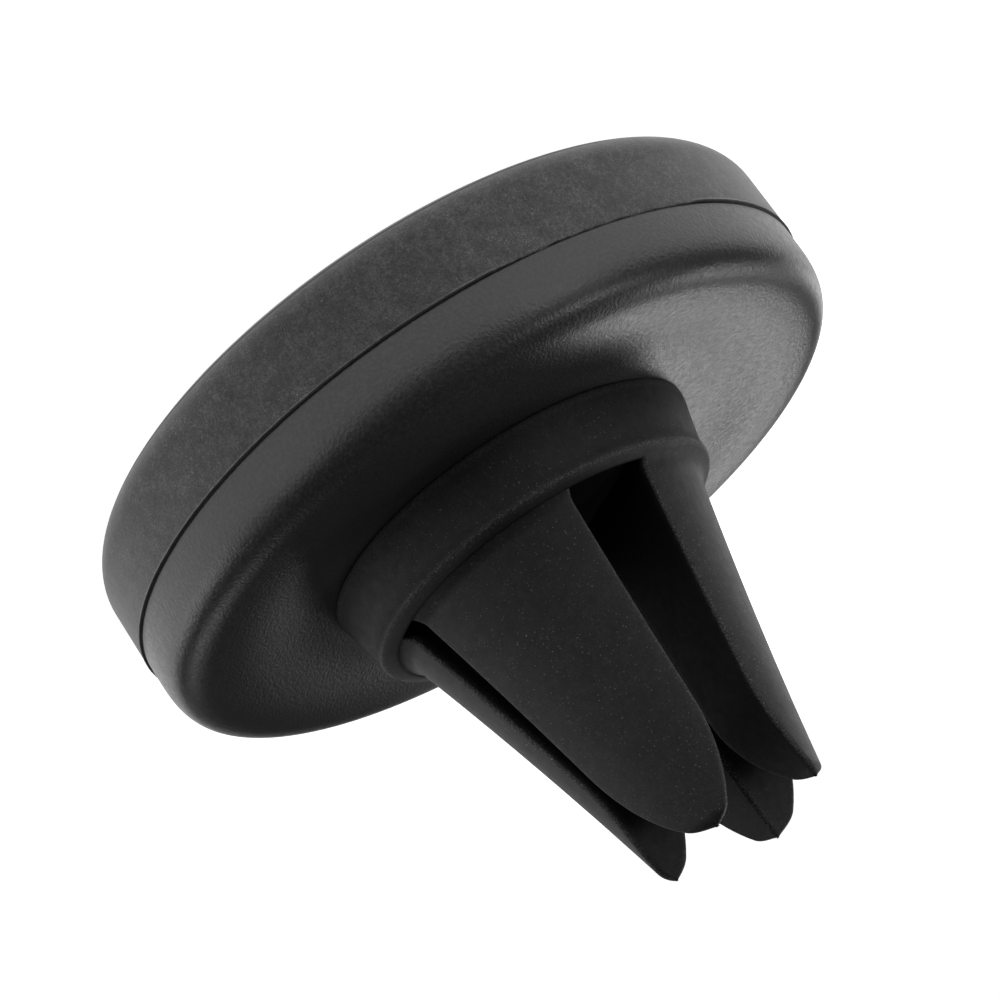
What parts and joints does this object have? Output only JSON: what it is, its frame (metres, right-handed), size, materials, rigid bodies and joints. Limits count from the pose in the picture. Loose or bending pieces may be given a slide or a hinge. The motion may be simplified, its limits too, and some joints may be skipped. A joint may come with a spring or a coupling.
{
  "type": "car phone mount",
  "caption": "Magnetic phone mount for a car air vent: a round rubber-faced magnetic head with a clip of sprung, rubber-covered prongs behind it, parted by a wide and a narrow blade slot.",
  "frame": {"origin": "centre of the phone-side face, which lies in the plane z = 0", "axes": "+Z along the head's axis, from the phone-side face to the prong tips; +X along the wide blade slot; +Y along the narrow blade slot"},
  "size_m": [0.041, 0.041, 0.0299],
  "materials": {
    "cap_rubber": "matte, dusty",
    "clip_rubber": "matte",
    "housing_plastic": "satin, fine spark-eroded grain",
    "inner_plastic": "satin, as moulded",
    "clip_plastic": "satin, as moulded",
    "magnet": "bright nickel plate",
    "plated_steel": "zinc plate",
    "screw_steel": "zinc plate",
    "adhesive": "clear-yellow acrylic film"
  },
  "bodies": {
    "head": {"face_cap": "cap_rubber", "face_adhesive": "adhesive", "magnet_carrier": "inner_plastic", "magnet_1": "magnet", "magnet_2": "magnet", "magnet_3": "magnet", "magnet_4": "magnet", "magnet_5": "magnet", "magnet_6": "magnet", "yoke_plate": "plated_steel", "carrier_screws": "screw_steel", "rear_housing": "housing_plastic", "clip_hub": "clip_plastic", "clip_screw": "screw_steel", "clip_washer": "plated_steel", "rubber_collar": "clip_rubber"},
    "finger_1": {"prong_1": "clip_plastic", "prong_sleeve_1": "clip_rubber"},
    "finger_2": {"prong_2": "clip_plastic", "prong_sleeve_2": "clip_rubber"},
    "finger_3": {"prong_3": "clip_plastic", "prong_sleeve_3": "clip_rubber"},
    "finger_4": {"prong_4": "clip_plastic", "prong_sleeve_4": "clip_rubber"}
  },
  "joints": [
    {"name": "flex_1", "type": "hinge", "parent": "head", "child": "finger_1", "pos_m": [0.00424, 0.00506, 0.0112], "axis": [-0.766, 0.6428, 0], "range_deg": [0, 5], "stiffness_Nm_per_rad": 0.5, "springref_deg": -1.15},
    {"name": "flex_2", "type": "hinge", "parent": "head", "child": "finger_2", "pos_m": [-0.00424, 0.00506, 0.0112], "axis": [-0.766, -0.6428, 0], "range_deg": [0, 5], "stiffness_Nm_per_rad": 0.5, "springref_deg": -1.15},
    {"name": "flex_3", "type": "hinge", "parent": "head", "child": "finger_3", "pos_m": [-0.00424, -0.00506, 0.0112], "axis": [0.766, -0.6428, 0], "range_deg": [0, 5], "stiffness_Nm_per_rad": 0.5, "springref_deg": -1.15},
    {"name": "flex_4", "type": "hinge", "parent": "head", "child": "finger_4", "pos_m": [0.00424, -0.00506, 0.0112], "axis": [0.766, 0.6428, 0], "range_deg": [0, 5], "stiffness_Nm_per_rad": 0.5, "springref_deg": -1.15}
  ]
}
